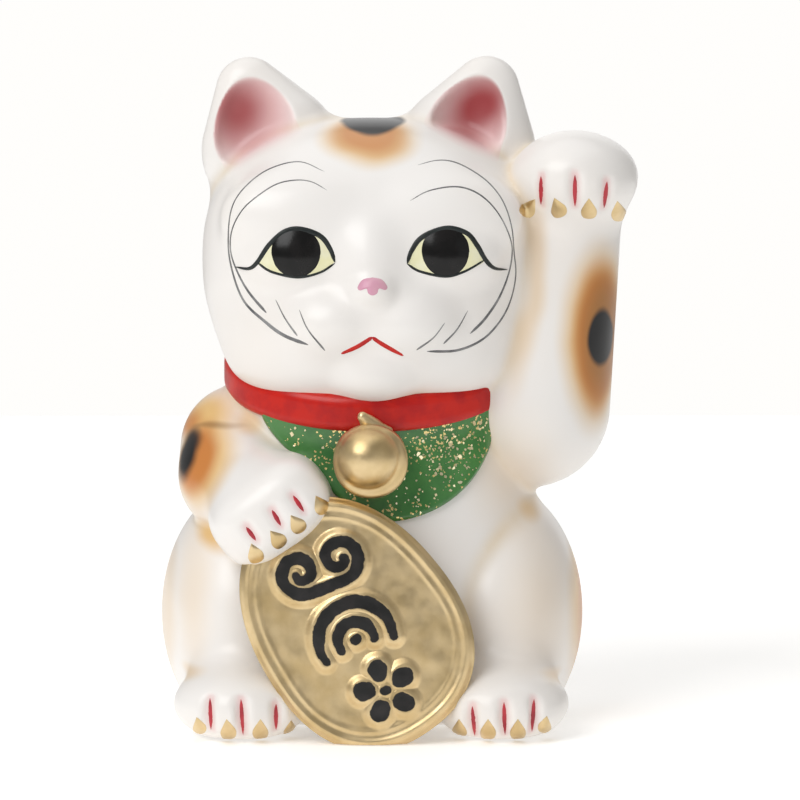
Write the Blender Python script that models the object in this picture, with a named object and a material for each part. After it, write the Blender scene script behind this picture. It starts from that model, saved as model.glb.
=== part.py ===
"""Beckoning cat coin bank: hollow glazed castings and pressed limbs luted together, with a soft bung.

The cat faces -Y and raises the paw on its own left, which is +X. Sizes are in millimetres about the cat's
own axis; every mesh is moved by PLACE and scaled to metres when it is made.
"""
import math

import bmesh
import bpy
import numpy as np

MM = 0.001
PLACE = (-8.85, 0.4, 0.0)  # puts the middle of the object's box over the origin
GAP = 0.3  # clearance that the slip joint fills
WALL = 4.5  # thickness of the castings
REACH = 140.0  # cutters and search rays end this far out, past the whole object

# The seam between head and torso is a plane that falls towards the chest, under the collar.
SEAM_HEIGHT = 127.0
SEAM_TILT = 15.0
NECK_BORE = 29.0
NECK_FLOOR = 96.0  # where the neck's bore opens into the belly
COLLAR_RADII = (53.6, 48.6)
COLLAR_DEPTH = 13.0
COLLAR_ROUND = 2.0
BIB_THICKNESS = 2.0
BIB_CENTRE = (2.0, 115.0)
BIB_RADII = (43.0, 39.0)

HEAD_CENTRE = (0.0, 1.0, 167.0)
HEAD_RADII = (61.5, 51.0, 51.0)
TORSO_CENTRE = (0.0, 6.0, 62.0)
SLOT_SIZE = (34.0, 5.0)
SLOT_HEIGHT = 186.0
SLOT_START = 30.0  # how far back the slot's cutter begins, inside the hollow head

KOBAN_CENTRE = (-6.2, -62.0, 42.6)
KOBAN_RADII = (35.8, 46.6)
KOBAN_POWER = 2.25
KOBAN_WIDER_BELOW = 0.084
KOBAN_THICKNESS = 8.0
KOBAN_RIM = 3.0
KOBAN_TURN = 35.2
KOBAN_LEAN = 6.0

BELL_CENTRE = (-0.5, -56.5, 99.0)
BELL_RADIUS = 12.6
LOOP_CENTRE = (-1.6, -53.0, 111.5)

BUNG_HOLE_RADIUS = 18.0
BUNG_FLANGE_RADIUS = 23.0
FLOOR_THICKNESS = 9.0
FLOOR_RECESS = 4.0
FLOOR_CLEARANCE = 1.6  # the bung's flange stays this far above the table

GLAZE = (0.91, 0.89, 0.86)
PINK_GLAZE = (0.80, 0.55, 0.55)
RED = (0.55, 0.02, 0.02)
GREEN = (0.05, 0.22, 0.06)
GOLD = (0.60, 0.45, 0.20)
RUBBER = (0.16, 0.14, 0.13)


# Fields: each takes points (n, 3) and returns roughly their distance outside a rounded form.
def smooth_min(a, b, blend):
    near = np.maximum(blend - np.abs(a - b), 0.0) / blend
    return np.minimum(a, b) - near * near * blend / 4


def smooth_max(a, b, blend):
    return -smooth_min(-a, -b, blend)


def egg(points, centre, radii, power=2.0, turn=None):
    """A superellipsoid: power 2 is an ellipsoid, and more makes it boxier."""
    offset = points - np.array(centre)
    if turn is not None:
        offset = offset @ turn
    radii = np.array(radii)
    q = np.abs(offset / radii) + 1e-6
    size = (q**power).sum(axis=1) ** (1 / power)
    slope = q ** (power - 1) / radii * (size ** (1 - power))[:, None]
    return (size - 1) / np.sqrt((slope * slope).sum(axis=1))


def cone(points, start, end, start_radius, end_radius, scale=(1, 1, 1)):
    """A cone with ball ends. scale above 1 flattens it along that axis."""
    scale = np.array(scale)
    start, end, points = np.array(start) * scale, np.array(end) * scale, points * scale
    along = end - start
    length2 = along @ along
    taper = start_radius - end_radius
    slant2 = length2 - taper * taper
    offset = points - start
    y = offset @ along
    z = y - length2
    x2 = ((offset * length2 - along * y[:, None]) ** 2).sum(axis=1)
    y2, z2 = y * y * length2, z * z * length2
    side = math.copysign(1, taper) * taper * taper * x2
    distance = np.sqrt(x2 * slant2 / length2**3) + y * taper / length2 - start_radius
    distance = np.where(np.sign(y) * slant2 * y2 < side, np.sqrt(x2 + y2) / length2 - start_radius, distance)
    distance = np.where(np.sign(z) * slant2 * z2 > side, np.sqrt(x2 + z2) / length2 - end_radius, distance)
    return distance / scale.max()


def turned_about_y(degrees):
    c, s = math.cos(math.radians(degrees)), math.sin(math.radians(degrees))
    return np.array([(c, 0, s), (0, 1, 0), (-s, 0, c)])


def head(points):
    skull = egg(points, HEAD_CENTRE, HEAD_RADII, 2.4)
    jowls = egg(points, (0, -10, 138), (52, 41, 25), 2.6)
    muzzle = egg(points, (0, -37, 146), (27, 18, 18))
    return smooth_min(smooth_min(skull, jowls, 10), muzzle, 14)


def head_hollow(points):
    inner = [radius - WALL for radius in HEAD_RADII]
    return egg(points, HEAD_CENTRE, inner, 2.4)


def ear(side):
    """The ear's root, and its field: a cone flattened from front to back."""
    root, tip = ((34.5, 2, 206), (41.5, 2, 228.4)) if side > 0 else ((-36.8, 2, 206), (-44.5, 2, 228))
    return root, lambda points: cone(points, root, tip, 25, 12, (1, 1.6, 1))


def torso(points):
    belly = egg(points, (0, 8, 44), (62, 56, 56), 2.6)
    chest = egg(points, (0, 2, 88), (55, 47, 46))
    neck = egg(points, (0, 0, 120), (50.5, 45, 26))
    return smooth_min(smooth_min(belly, chest, 20), neck, 16)


def torso_hollow(points):
    belly = egg(points, (0, 8, 44), (62 - WALL, 56 - WALL, 56 - WALL), 2.6)
    chest = egg(points, (0, 2, 88), (55 - WALL, 47 - WALL, 28))
    return smooth_max(smooth_min(belly, chest, 20), FLOOR_THICKNESS - points[:, 2], 6)


def neck_core(points):
    """Fills the groove under the chin, so that limbs laid against the neck end in one face there."""
    return egg(points, (0, 0, SEAM_HEIGHT), (51, 46, 30))


def hind_leg(side):
    def field(points):
        haunch = egg(points, (46 * side, 2, 38), (31, 50, 46))
        foot = egg(points, (46 * side, -50, 12), (24, 23, 14))
        return smooth_min(haunch, foot, 14)

    return field


def hollow_of(field):
    """The space inside a casting of this form, with a floor as thick as its walls."""
    return lambda points: smooth_max(field(points) + WALL, WALL - points[:, 2], 3)


def raised_arm(points):
    arm = cone(points, (57, -4, 113.5), (71.5, -10, 190), 29.5, 19)
    paw = egg(points, (73, -20, 197.5), (22.3, 22, 16))
    return smooth_min(arm, paw, 10)


def lowered_arm(points):
    shoulder = cone(points, (-47, -4, 99), (-48, -14, 90), 22.5, 19.5)
    forearm = cone(points, (-48, -20, 89.5), (-38, -42, 82), 18.5, 17)
    paw = egg(points, (-35, -54, 80.8), (21.5, 18, 14.5), 2.8, turned_about_y(-37))
    return smooth_min(smooth_min(shoulder, forearm, 12), paw, 12)


def tail(points):
    return cone(points, (12, 60, 11), (24, 62, 42), 11, 8.5)


# Objects
def clear_scene():
    for thing in list(bpy.data.objects):
        bpy.data.objects.remove(thing, do_unlink=True)


def material(name, colour, roughness=0.2, metallic=0.0):
    made = bpy.data.materials.new(name)
    made.use_nodes = True
    shader = made.node_tree.nodes["Principled BSDF"]
    shader.inputs["Base Color"].default_value = (*colour, 1)
    shader.inputs["Roughness"].default_value = roughness
    shader.inputs["Metallic"].default_value = metallic
    return made


def placed(made, name, finish=None):
    """Names an object whose mesh is in millimetres about the cat's axis, and scales it to metres."""
    made.name = name
    mesh = made.data
    points = np.empty(len(mesh.vertices) * 3)
    mesh.vertices.foreach_get("co", points)
    points = (points.reshape(-1, 3) + np.array(PLACE)) * MM
    mesh.vertices.foreach_set("co", points.reshape(-1))
    if finish:
        mesh.materials.append(finish)
        mesh.shade_smooth()
        mesh.set_sharp_from_angle(angle=math.radians(35))
    else:
        made.hide_render = True
        made.display_type = "WIRE"
    return made


def from_bmesh(shape, name, finish=None):
    mesh = bpy.data.meshes.new(name)
    bmesh.ops.recalc_face_normals(shape, faces=shape.faces)
    shape.to_mesh(mesh)
    shape.free()
    made = bpy.data.objects.new(name, mesh)
    bpy.context.collection.objects.link(made)
    return placed(made, name, finish)


def skin(name, field, centre, finish=None, offset=0.0, detail=4):
    """An icosphere whose vertices are pushed along rays from centre onto the surface field = offset."""
    bpy.ops.mesh.primitive_ico_sphere_add(subdivisions=detail, radius=1.0)
    ball = bpy.context.object
    rays = np.empty(len(ball.data.vertices) * 3)
    ball.data.vertices.foreach_get("co", rays)
    rays = rays.reshape(-1, 3)
    rays /= np.linalg.norm(rays, axis=1)[:, None]
    centre = np.array(centre, float)
    stride, halvings = 2.0, 16
    outside = np.full(len(rays), REACH)
    for distance in np.arange(REACH - stride, 0.0, -stride):
        beyond = field(centre + rays * distance) > offset
        outside = np.where(beyond, distance, outside)
    inside = outside - stride
    for _ in range(halvings):
        middle = (inside + outside) / 2
        beyond = field(centre + rays * middle[:, None]) > offset
        outside = np.where(beyond, middle, outside)
        inside = np.where(beyond, inside, middle)
    points = centre + rays * outside[:, None]
    ball.data.vertices.foreach_set("co", points.reshape(-1))
    return placed(ball, name, finish)


def block(name, low, high, tilt=0.0, pivot=(0, 0, 0)):
    """A box cutter between two corners, turned about X round pivot."""
    shape = bmesh.new()
    bmesh.ops.create_cube(shape, size=1.0)
    low, high = np.array(low, float), np.array(high, float)
    c, s = math.cos(math.radians(tilt)), math.sin(math.radians(tilt))
    for corner in shape.verts:
        x, y, z = (low + high) / 2 + np.array(corner.co) * (high - low) - np.array(pivot)
        corner.co = np.array((x, y * c - z * s, y * s + z * c)) + np.array(pivot)
    return from_bmesh(shape, name)


def lathe(name, profile, centre, finish=None, steps=48):
    """Turns (radius, height) points about a vertical axis; the profile starts and ends on the axis."""
    shape = bmesh.new()
    points = [shape.verts.new((radius, 0, height)) for radius, height in profile]
    edges = [shape.edges.new(pair) for pair in zip(points, points[1:])]
    bmesh.ops.spin(
        shape, geom=points + edges, cent=(0, 0, 0), axis=(0, 0, 1), angle=math.tau, steps=steps, use_merge=True
    )
    bmesh.ops.remove_doubles(shape, verts=shape.verts, dist=1e-4)
    bmesh.ops.translate(shape, verts=shape.verts, vec=centre)
    return from_bmesh(shape, name, finish)


def combine(target, operation, *cutters):
    for cutter in cutters:
        step = target.modifiers.new(cutter.name, "BOOLEAN")
        step.operation = operation
        step.object = cutter
    return target


def cut(target, *cutters):
    return combine(target, "DIFFERENCE", *cutters)


def collar_ring(name, finish=None, margin=0.0):
    """An elliptical band about the seam plane, solid across: the neck is cut out of it afterwards."""
    half = COLLAR_DEPTH / 2 + margin
    across, along = COLLAR_RADII[0] + margin, COLLAR_RADII[1] + margin
    corner = [math.radians(angle) for angle in (-90, -60, -30, 0)]
    edge = [(COLLAR_ROUND * (1 - math.cos(a)), half - COLLAR_ROUND * (1 + math.sin(a))) for a in corner]
    profile = [(shy, -height) for shy, height in edge] + [(shy, height) for shy, height in reversed(edge)]
    rise, run = math.sin(math.radians(SEAM_TILT)), math.cos(math.radians(SEAM_TILT))
    shape = bmesh.new()
    steps = 56
    rows = []
    for shy, height in profile:
        row = []
        for step in range(steps):
            angle = math.tau * step / steps
            x = (across - shy) * math.cos(angle)
            y = (along - shy) * math.sin(angle) / run
            row.append(shape.verts.new((x, y * run - height * rise, SEAM_HEIGHT + y * rise + height * run)))
        rows.append(row)
    for lower, upper in zip(rows, rows[1:]):
        for i in range(steps):
            j = (i + 1) % steps
            shape.faces.new((lower[i], lower[j], upper[j], upper[i]))
    shape.faces.new(rows[0])
    shape.faces.new(rows[-1])
    return from_bmesh(shape, name, finish)


def koban_outline(grow=0.0, count=44):
    """The coin's rounded oval in its own plane, (across, up), a little wider below."""
    for step in range(count):
        angle = math.tau * step / count
        c, s = math.cos(angle), math.sin(angle)
        across = math.copysign(abs(c) ** (2 / KOBAN_POWER), c)
        up = math.copysign(abs(s) ** (2 / KOBAN_POWER), s)
        width = (KOBAN_RADII[0] + grow) * (1 - KOBAN_WIDER_BELOW * up)
        yield across * width, up * (KOBAN_RADII[1] + grow)


def koban_point(across, depth, up):
    """From the coin's plane to the cat's frame: turned in its plane, leant back, and moved to its centre."""
    c, s = math.cos(math.radians(KOBAN_TURN)), math.sin(math.radians(KOBAN_TURN))
    x, z = across * c - up * s, across * s + up * c
    lean_c, lean_s = math.cos(math.radians(KOBAN_LEAN)), math.sin(math.radians(KOBAN_LEAN))
    y, z = depth * lean_c + z * lean_s, z * lean_c - depth * lean_s
    return np.array((x, y, z)) + np.array(KOBAN_CENTRE)


def koban_plaque(finish):
    """A thick oval with a rounded back edge and a raised rim round its sunk face."""
    half = KOBAN_THICKNESS / 2
    back_round, front_round, sunk = 2.0, 1.5, 1.2
    rings = [(-back_round, half), (0.0, half - back_round), (0.0, front_round - half), (-front_round, -half)]
    rings += [(-KOBAN_RIM, -half), (-KOBAN_RIM - sunk, sunk - half)]
    shape = bmesh.new()
    loops = []
    for grow, depth in rings:
        loops.append([shape.verts.new(koban_point(a, depth, u)) for a, u in koban_outline(grow)])
    for back, front in zip(loops, loops[1:]):
        for i in range(len(back)):
            j = (i + 1) % len(back)
            shape.faces.new((back[i], back[j], front[j], front[i]))
    shape.faces.new(loops[0])
    shape.faces.new(loops[-1])
    return from_bmesh(shape, "koban_plaque", finish)


def bib_prism():
    """The bib's outline, an oval, pushed right through the chest's front."""
    front, back, steps = -80, -6, 48
    shape = bmesh.new()
    corners = []
    for step in range(steps):
        angle = math.tau * step / steps
        x = BIB_CENTRE[0] + BIB_RADII[0] * math.cos(angle)
        z = BIB_CENTRE[1] + BIB_RADII[1] * math.sin(angle)
        corners.append(shape.verts.new((x, front, z)))
    outline = shape.faces.new(corners)
    grown = bmesh.ops.extrude_face_region(shape, geom=[outline])["geom"]
    moved = [item for item in grown if isinstance(item, bmesh.types.BMVert)]
    bmesh.ops.translate(shape, verts=moved, vec=(0, back - front, 0))
    return from_bmesh(shape, "bib_outline")


def bell_profile(grow=0.0):
    """A ball with a rounded lip round its lower third."""
    radius = BELL_RADIUS + grow
    lip_height, lip_angle, lip_spread = 0.9, -22, 12
    steps = 14
    for step in range(steps + 1):
        degrees = -90 + 180 * step / steps
        lip = lip_height * math.exp(-(((degrees - lip_angle) / lip_spread) ** 2))
        on_axis = step in (0, steps)
        across = 0 if on_axis else (radius - lip_height + lip) * math.cos(math.radians(degrees))
        yield across, radius * math.sin(math.radians(degrees))


def bung_profile():
    """From the foot of the flange up: a pull dimple, the flange, and a plug that narrows to its top."""
    bottom, top = FLOOR_CLEARANCE, FLOOR_RECESS - GAP
    plug = BUNG_HOLE_RADIUS - GAP
    dimple, dimple_depth, dimple_slope = 6.0, 1.2, 1.5
    end, shoulder = FLOOR_THICKNESS + 4, FLOOR_THICKNESS + 1
    draft, end_round = 0.4, 2.5
    yield (0, bottom + dimple_depth)
    yield (dimple, bottom + dimple_depth)
    yield (dimple + dimple_slope, bottom)
    yield (BUNG_FLANGE_RADIUS, bottom)
    yield (BUNG_FLANGE_RADIUS, top)
    yield (plug, top)
    yield (plug - draft, shoulder)
    yield (plug - end_round, end)
    yield (0, end)


def cylinder(name, radius, low, high, centre=(0, 0)):
    profile = [(0, low), (radius, low), (radius, high), (0, high)]
    return lathe(name, profile, (*centre, 0))


def build():
    clear_scene()
    white = material("white_glaze", GLAZE)
    pink = material("pink_glaze", PINK_GLAZE)
    gold = material("gold_lustre", GOLD, 0.3, 1.0)
    # Points well inside each limb, from which its skin is pushed out.
    arm_centre, low_arm_centre = (64, -8, 150), (-45, -24, 88)
    leg_centre, tail_centre = (46, -12, 34), (20, 61, 24)

    floor = block("below_floor", (-REACH, -REACH, -REACH), (REACH, REACH, 0))
    seam = (0, 0, SEAM_HEIGHT)
    over_seam = block(
        "over_seam", (-REACH, -REACH, SEAM_HEIGHT), (REACH, REACH, SEAM_HEIGHT + REACH), SEAM_TILT, seam
    )
    under_seam = block(
        "under_seam", (-REACH, -REACH, SEAM_HEIGHT - REACH), (REACH, REACH, SEAM_HEIGHT + GAP), SEAM_TILT, seam
    )
    near_torso = skin("near_torso", torso, TORSO_CENTRE, offset=GAP)
    near_head = skin("near_head", head, HEAD_CENTRE, offset=GAP)
    near_bib = skin("near_bib", torso, TORSO_CENTRE, offset=BIB_THICKNESS + GAP)
    near_raised_arm = skin("near_raised_arm", raised_arm, arm_centre, offset=GAP)
    near_lowered_arm = skin("near_lowered_arm", lowered_arm, low_arm_centre, offset=GAP)
    near_neck = skin("near_neck", neck_core, seam, detail=3)
    near_collar = collar_ring("near_collar", margin=GAP)

    body = skin("torso_shell", torso, TORSO_CENTRE, white)
    cut(body, floor, over_seam, skin("torso_hollow", torso_hollow, TORSO_CENTRE, detail=3))
    cut(body, cylinder("neck_bore", NECK_BORE, NECK_FLOOR, SEAM_HEIGHT + REACH))
    cut(body, cylinder("bung_hole", BUNG_HOLE_RADIUS, -REACH, 2 * FLOOR_THICKNESS))
    cut(body, cylinder("bung_recess", BUNG_FLANGE_RADIUS + 1, -REACH, FLOOR_RECESS))

    skull = skin("head_shell", head, HEAD_CENTRE, white)
    cut(skull, under_seam, skin("head_hollow", head_hollow, HEAD_CENTRE, detail=3))
    half_wide, half_high = SLOT_SIZE[0] / 2, SLOT_SIZE[1] / 2
    low, high = (-half_wide, SLOT_START, SLOT_HEIGHT - half_high), (half_wide, REACH, SLOT_HEIGHT + half_high)
    cut(skull, block("coin_slot", low, high))

    for side, name in ((1, "left"), (-1, "right")):
        (root_x, root_y, root_z), field = ear(side)
        flap = skin(name + "_ear", field, (root_x, root_y, root_z + 8), pink, detail=3)
        dish_centre = (root_x + 4 * side, -15, 217)
        dish = lambda points, centre=dish_centre: egg(points, centre, (12, 9, 17))
        cut(flap, near_head, skin(name + "_ear_dish", dish, dish_centre, detail=3))
        if side > 0:
            cut(flap, near_raised_arm)
        middle = (leg_centre[0] * side, *leg_centre[1:])
        leg = skin(name + "_hind_leg", hind_leg(side), middle, white)
        hollow = skin(name + "_leg_hollow", hollow_of(hind_leg(side)), middle, detail=3)
        cut(leg, near_torso, floor, hollow)
        if side < 0:
            cut(leg, near_lowered_arm)

    arm_hollow = skin("arm_hollow", hollow_of(raised_arm), arm_centre, detail=3)
    cut(skin("raised_arm", raised_arm, arm_centre, white), near_torso, near_head, near_neck, arm_hollow)
    cut(skin("lowered_arm", lowered_arm, low_arm_centre, white), near_torso, near_neck)
    cut(skin("tail", tail, tail_centre, white, detail=3), near_torso, floor)

    collar = collar_ring("collar_band", material("red_glaze", RED))
    cut(collar, near_torso, near_head, near_raised_arm, near_lowered_arm)
    bib = skin("bib", torso, TORSO_CENTRE, material("green_enamel", GREEN), offset=BIB_THICKNESS)
    combine(bib, "INTERSECT", bib_prism())
    cut(bib, over_seam, near_torso, near_collar, near_raised_arm, near_lowered_arm)

    bell = lathe("bell_body", list(bell_profile()), BELL_CENTRE, gold, steps=26)
    cut(bell, near_bib, near_collar)
    knob = [(0, -5), (2.6, -4.2), (3.4, -2), (3.4, 1.5), (2.4, 3.6), (0, 4.4)]
    loop = lathe("bell_loop", knob, LOOP_CENTRE, gold, steps=16)
    cut(loop, near_bib, near_collar, lathe("near_bell", list(bell_profile(GAP)), BELL_CENTRE, steps=26))

    coin = cut(koban_plaque(gold), near_bib, near_lowered_arm, floor)
    for side, name in ((1, "left"), (-1, "right")):
        middle = (leg_centre[0] * side, *leg_centre[1:])
        cut(coin, skin("near_" + name + "_leg", hind_leg(side), middle, offset=GAP))
    lathe("base_stopper", list(bung_profile()), (0, 0, 0), material("soft_rubber", RUBBER, 0.7), steps=40)


build()
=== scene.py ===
import math

import bpy
import numpy as np
from mathutils import Matrix, Vector


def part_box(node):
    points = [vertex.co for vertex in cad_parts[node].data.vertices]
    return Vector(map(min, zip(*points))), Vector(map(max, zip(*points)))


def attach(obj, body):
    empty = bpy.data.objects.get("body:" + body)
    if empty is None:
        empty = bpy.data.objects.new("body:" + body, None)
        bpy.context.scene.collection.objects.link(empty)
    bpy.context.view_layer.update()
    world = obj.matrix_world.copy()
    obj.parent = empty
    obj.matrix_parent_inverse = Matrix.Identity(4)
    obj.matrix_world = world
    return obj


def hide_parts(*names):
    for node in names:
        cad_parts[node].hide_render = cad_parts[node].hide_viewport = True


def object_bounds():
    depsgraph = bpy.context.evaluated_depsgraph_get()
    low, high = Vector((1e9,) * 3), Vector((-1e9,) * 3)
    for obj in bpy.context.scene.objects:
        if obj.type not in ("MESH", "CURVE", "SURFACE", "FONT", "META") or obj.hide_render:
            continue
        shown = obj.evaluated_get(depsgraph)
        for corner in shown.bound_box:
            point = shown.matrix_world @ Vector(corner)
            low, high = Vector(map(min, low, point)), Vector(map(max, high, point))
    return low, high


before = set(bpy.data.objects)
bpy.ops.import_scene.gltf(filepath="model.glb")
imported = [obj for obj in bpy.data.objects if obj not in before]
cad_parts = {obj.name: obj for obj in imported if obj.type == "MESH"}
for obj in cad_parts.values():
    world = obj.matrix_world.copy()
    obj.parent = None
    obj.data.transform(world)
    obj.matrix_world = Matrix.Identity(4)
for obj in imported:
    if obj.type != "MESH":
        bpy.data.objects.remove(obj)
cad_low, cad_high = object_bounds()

# The forms are fields in millimetres about the cat's own vertical axis, which the stopper shares.
MM = 0.001
FINE = 1.15  # pitch of the ceramic surface
axis_low, axis_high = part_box("base_stopper")
AXIS = np.array([(axis_low.x + axis_high.x) / 2, (axis_low.y + axis_high.y) / 2, 0.0]) / MM
SEAM_HEIGHT, SEAM_TILT = 127.0, 15.0
COLLAR_DEPTH = 13.2
STOPPER_RADIUS = (axis_high.x - axis_low.x) / 2 / MM

# The viewpoint from which the painter's marks are laid on the form.
VIEW_DISTANCE = 1500.0
VIEW_LIFT = 5.0
VIEW_TARGET = np.array([10.2, 0.0, 115.3])
VIEW_WIDTH = 291.7  # what the picture takes in at the target
MARCH_MARGIN = 130.0  # sight lines start this far in front of the target
MISS = 0.2  # a line ending further than this from the skin has missed it
PAINT_FLOOR = 0.2  # paint stays this far above the table

lift = math.radians(VIEW_LIFT)
LOOK = np.array([0.0, math.cos(lift), -math.sin(lift)])
RIGHT = np.array([1.0, 0.0, 0.0])
UP = np.array([0.0, math.sin(lift), math.cos(lift)])
EYE = VIEW_TARGET - LOOK * VIEW_DISTANCE


# ---- fields
def smooth_min(a, b, blend):
    near = np.maximum(blend - np.abs(a - b), 0.0) / blend
    return np.minimum(a, b) - near * near * blend / 4


def smooth_max(a, b, blend):
    return -smooth_min(-a, -b, blend)


def egg(points, centre, radii, power=2.0, turn=0.0, swing=0.0):
    """Distance outside a superellipsoid: swung about Z, then turned about Y, in degrees."""
    offset = points - np.array(centre)
    if turn:
        c, s = math.cos(math.radians(turn)), math.sin(math.radians(turn))
        offset = offset @ np.array([(c, 0, s), (0, 1, 0), (-s, 0, c)])
    if swing:
        c, s = math.cos(math.radians(swing)), math.sin(math.radians(swing))
        offset = offset @ np.array([(c, -s, 0), (s, c, 0), (0, 0, 1)])
    radii = np.array(radii)
    q = np.abs(offset / radii) + 1e-6
    if power == 2.0:
        size = np.sqrt((q * q).sum(axis=1))
        slope = q / radii / size[:, None]
    else:
        size = (q**power).sum(axis=1) ** (1 / power)
        slope = q ** (power - 1) / radii * (size ** (1 - power))[:, None]
    return (size - 1) / np.sqrt((slope * slope).sum(axis=1))


def cone(points, start, end, start_radius, end_radius, scale=(1, 1, 1)):
    """Distance outside a cone with ball ends. scale above 1 flattens it along that axis."""
    scale = np.array(scale)
    start, end, points = np.array(start) * scale, np.array(end) * scale, points * scale
    along = end - start
    length2 = along @ along
    taper = start_radius - end_radius
    slant2 = length2 - taper * taper
    offset = points - start
    y = offset @ along
    z = y - length2
    x2 = ((offset * length2 - along * y[:, None]) ** 2).sum(axis=1)
    y2, z2 = y * y * length2, z * z * length2
    side = math.copysign(1, taper) * taper * taper * x2
    distance = np.sqrt(x2 * slant2 / length2**3) + y * taper / length2 - start_radius
    distance = np.where(np.sign(y) * slant2 * y2 < side, np.sqrt(x2 + y2) / length2 - start_radius, distance)
    distance = np.where(np.sign(z) * slant2 * z2 > side, np.sqrt(x2 + z2) / length2 - end_radius, distance)
    return distance / scale.max()


def face_relief(points, d):
    """Eye mounds, brow pads, nose, muzzle and chin, each melted into the skull."""
    for side in (-1, 1):
        d = smooth_min(d, egg(points, (29 * side, -35, 184), (24, 13, 15)), 9)
        d = smooth_min(d, egg(points, (27.5 * side, -38.5, 169), (17, 11.5, 11.5)), 5)
        d = smooth_min(d, egg(points, (12.5 * side, -43, 146), (17, 14, 12)), 7)
    d = smooth_min(d, egg(points, (0, -43, 166), (9, 11, 15)), 10)
    d = smooth_min(d, egg(points, (0.5, -52.5, 158.5), (6, 5.5, 4.5)), 5)
    return smooth_min(d, egg(points, (1, -43, 127.5), (13, 10.5, 9.5)), 6)


def head(points):
    skull = egg(points, (0, 1, 167), (61.5, 51, 51), 2.4)
    jowls = egg(points, (0, -10, 138), (52, 41, 25), 2.6)
    return face_relief(points, smooth_min(skull, jowls, 10))


# Each ear's root and tip, and its dish: centre, radii, turn and swing, deeper on the viewer's left.
EARS = {
    1: ((34.5, 2, 206), (41.5, 2, 228.4), (36.5, -14.5, 218), (15.5, 10.5, 21.5), 28, -24),
    -1: ((-36.8, 2, 206), (-44.5, 2, 228), (-41.5, -14.5, 217.5), (16.5, 10.5, 20), 14, -22),
}


def ear_dish(side):
    _, _, centre, radii, turn, swing = EARS[side]
    return lambda points: egg(points, centre, radii, 2.3, turn, swing)


def ear(side):
    root, tip = EARS[side][:2]
    dish = ear_dish(side)
    return lambda points: smooth_max(cone(points, root, tip, 25, 12, (1, 1.6, 1)), -dish(points), 1.6)


def torso(points):
    belly = egg(points, (0, 8, 44), (62, 56, 56), 2.6)
    chest = egg(points, (0, 2, 88), (55, 47, 46))
    neck = egg(points, (0, 0, 120), (50.5, 45, 26))
    return smooth_min(smooth_min(belly, chest, 20), neck, 16)


def hind_leg(side):
    def field(points):
        haunch = egg(points, (46 * side, 2, 38), (31, 50, 46))
        foot = egg(points, (46 * side, -50, 12), (24, 23, 14))
        return smooth_min(haunch, foot, 14)

    return field


def raised_arm(points):
    arm = cone(points, (57, -4, 113.5), (71.5, -10, 190), 29.5, 19)
    paw = egg(points, (73, -20, 197.5), (22.3, 22, 16))
    return smooth_min(arm, paw, 10)


def lowered_arm(points):
    shoulder = cone(points, (-47, -4, 99), (-48, -14, 90), 22.5, 19.5)
    forearm = cone(points, (-48, -20, 89.5), (-38, -42, 82), 18.5, 17)
    paw = egg(points, (-35, -54, 80.8), (21.5, 18, 14.5), 2.8, -37)
    return smooth_min(smooth_min(shoulder, forearm, 12), paw, 12)


def tail(points):
    return cone(points, (12, 60, 11), (24, 62, 42), 11, 8.5)


def inside_base(points):
    """The recess, bung hole and hollow under the base, and the coin slot behind the head."""
    radius = np.hypot(points[:, 0], points[:, 1])
    height = points[:, 2]
    recess = smooth_max(radius - STOPPER_RADIUS - 1, height - 4, 1)
    hole = smooth_max(radius - 18, height - 26, 1)
    slot = np.maximum(np.abs(points[:, 0]) - 15, 0)
    slot = np.hypot(slot, points[:, 2] - 186) - 2.5
    slot = smooth_max(slot, 38 - points[:, 1], 1)
    return np.minimum(np.minimum(recess, hole), slot)


CERAMIC = {
    "torso_shell": torso,
    "head_shell": head,
    "left_ear": ear(1),
    "right_ear": ear(-1),
    "raised_arm": raised_arm,
    "lowered_arm": lowered_arm,
    "left_hind_leg": hind_leg(1),
    "right_hind_leg": hind_leg(-1),
    "tail": tail,
}
# How softly each piece runs into the ones before it.
LUTING = {
    "head_shell": 3, "left_ear": 5, "right_ear": 5, "raised_arm": 5, "lowered_arm": 4,
    "left_hind_leg": 4, "right_hind_leg": 4, "tail": 4,
}
grooves = []  # (start, end, radius) of the slits between the toes


def ceramic(points):
    d = torso(points)
    for name, blend in LUTING.items():
        d = smooth_min(d, CERAMIC[name](points), blend)
    d = smooth_max(d, -points[:, 2], 3)
    for start, end, radius in grooves:
        d = smooth_max(d, -cone(points, start, end, radius, radius * 0.8), 2.5)
    return smooth_max(d, -inside_base(points), 1)


# ---- surfaces
def in_chunks(field, points, size=200000):
    return np.concatenate([field(points[i : i + size]) for i in range(0, len(points), size)])


def gradient(field, points, step=0.25):
    sides = [in_chunks(field, points + step * np.eye(3)[k]) - in_chunks(field, points - step * np.eye(3)[k])
             for k in range(3)]
    return np.stack(sides, axis=1) / (2 * step)


def unit(vectors):
    return vectors / (np.linalg.norm(vectors, axis=1)[:, None] + 1e-12)


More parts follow.
